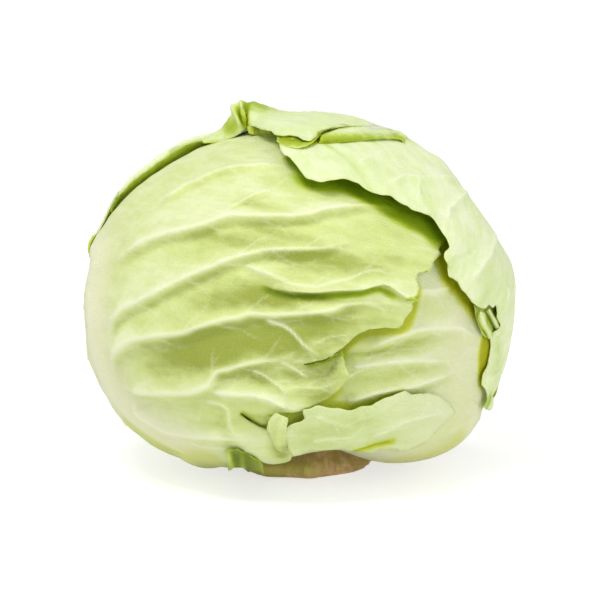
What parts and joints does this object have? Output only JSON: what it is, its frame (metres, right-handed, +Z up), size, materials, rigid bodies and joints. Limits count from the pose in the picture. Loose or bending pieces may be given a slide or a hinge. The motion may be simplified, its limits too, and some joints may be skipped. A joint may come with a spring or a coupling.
{
  "type": "cabbage head",
  "caption": "Flattened round head of pale green cabbage, wrapped by loose pleated leaves with ragged lifted edges, standing on the flat cut face of its stump.",
  "frame": {"origin": "middle of the flat cut face of the stump, on the surface that the head stands on", "axes": "+Z up through the head, -Y towards the front of the head with the pleated left leaf, +X to the right seen from the front"},
  "size_m": [0.1897, 0.1777, 0.1624],
  "materials": {
    "stump": "matte, fibrous cut stem",
    "heart": "satin leaf",
    "leaf_right": "satin leaf, cream base",
    "leaf_left": "satin leaf, cream midrib and veins",
    "leaf_lower": "satin leaf",
    "leaf_back": "satin leaf, greener outer leaf"
  },
  "bodies": {
    "root": {"stump": "stump", "heart": "heart", "leaf_right": "leaf_right", "leaf_left": "leaf_left", "leaf_lower": "leaf_lower", "leaf_back": "leaf_back"}
  },
  "joints": []
}
